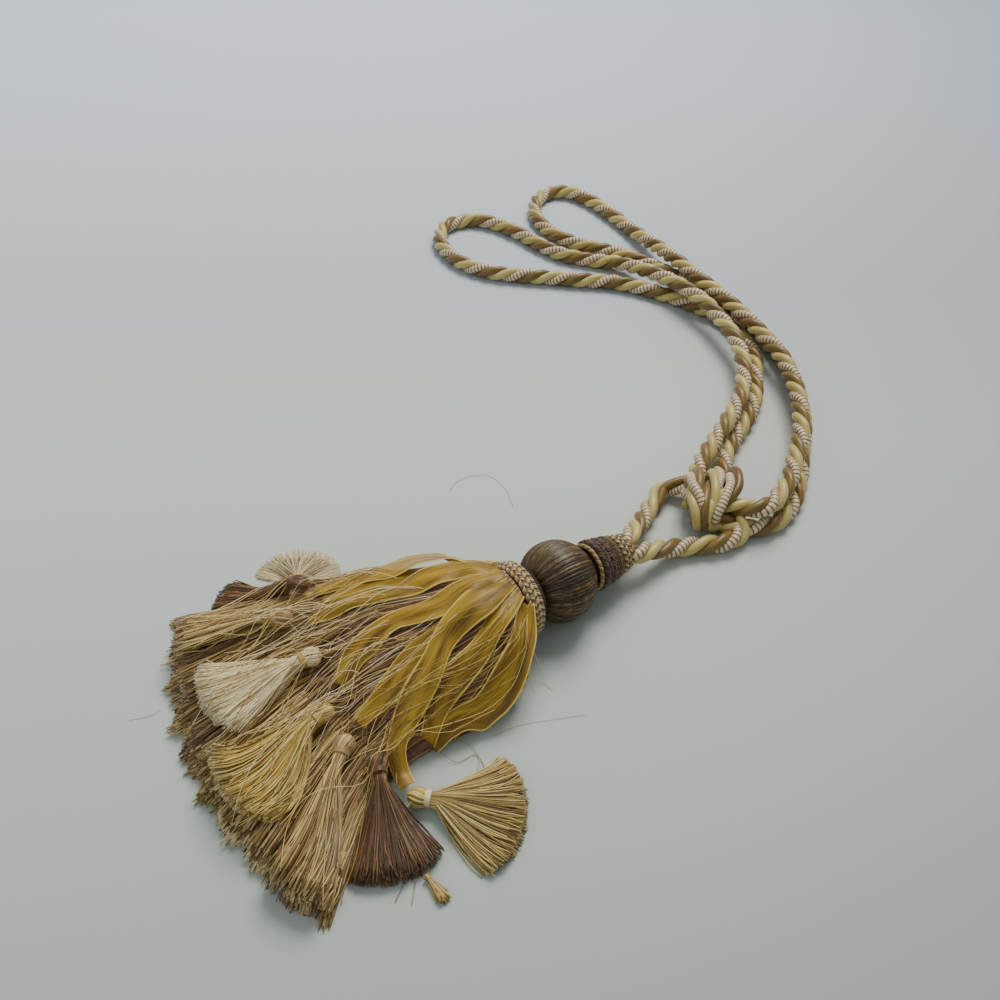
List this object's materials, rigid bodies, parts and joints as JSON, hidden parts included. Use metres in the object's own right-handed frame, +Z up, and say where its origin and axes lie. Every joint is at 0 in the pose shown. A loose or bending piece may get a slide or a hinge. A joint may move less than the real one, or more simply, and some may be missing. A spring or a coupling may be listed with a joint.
{
  "type": "curtain tieback tassel",
  "caption": "Curtain tieback: a laid rope with long loops gathered by a wrapped knot, and a large tassel with a wound ball, braid collar and a skirt of threads, sheer ribbons and small tassels.",
  "frame": {"origin": "middle of the underside of the tassel's own box, on the surface it lies on; the rope is not counted", "axes": "+X to the right, from the skirt towards the neck; +Y away, towards the rope's loops; +Z up"},
  "size_m": [0.3644, 0.6116, 0.0463],
  "materials": {
    "rope": "satin, three laid strands in gold, straw and ticked cream",
    "ball_yarn": "yarn wound, dark olive brown",
    "boucle_brown": "boucle cord, dark brown",
    "braid_gold": "twisted gimp braid, cream, gold and brown",
    "thread_mauve": "fine loose threads, mauve brown and beige",
    "brush_sand": "cut yarn, sand with olive and cream tufts",
    "ribbon_mustard": "sheer organza with a woven edge",
    "yarn_brown": "cut yarn, brown",
    "yarn_cream": "cut yarn, cream",
    "yarn_beige": "cut yarn, beige",
    "yarn_gold": "cut yarn, light gold",
    "tie_thread": "binding thread"
  },
  "bodies": {
    "root": {"ball_foot_ring": "boucle_brown", "head_ball": "ball_yarn", "hem_brush": "brush_sand", "neck_band": "boucle_brown", "neck_base_cord": "braid_gold", "neck_gimp": "braid_gold", "neck_ring_narrow": "boucle_brown", "neck_ring_wide": "boucle_brown", "ribbon_far": "ribbon_mustard", "ribbon_inner": "ribbon_mustard", "ribbon_long": "ribbon_mustard", "ribbon_lower": "ribbon_mustard", "ribbon_middle": "ribbon_mustard", "ribbon_near": "ribbon_mustard", "ribbon_upper": "ribbon_mustard", "rope_knot": "rope", "rope_loop_long": "rope", "rope_loop_short": "rope", "rope_stem_lower": "rope", "rope_stem_upper": "rope", "skirt_collar": "braid_gold", "skirt_threads": "thread_mauve", "tassel_beige": "yarn_beige", "tassel_brown_far": "yarn_brown", "tassel_cream_far": "yarn_cream", "tassel_cream_front": "yarn_cream", "tassel_dark_brown": "yarn_brown", "tassel_gold_beige": "yarn_gold", "tassel_gold_tuft": "yarn_gold", "tassel_light_gold": "yarn_gold", "tassel_sand": "yarn_beige", "tie_beige": "tie_thread", "tie_brown_far": "tie_thread", "tie_cream_far": "tie_thread", "tie_cream_front": "tie_thread", "tie_dark_brown": "tie_thread", "tie_gold_beige": "tie_thread", "tie_light_gold": "tie_thread", "tie_sand": "tie_thread"}
  },
  "joints": []
}
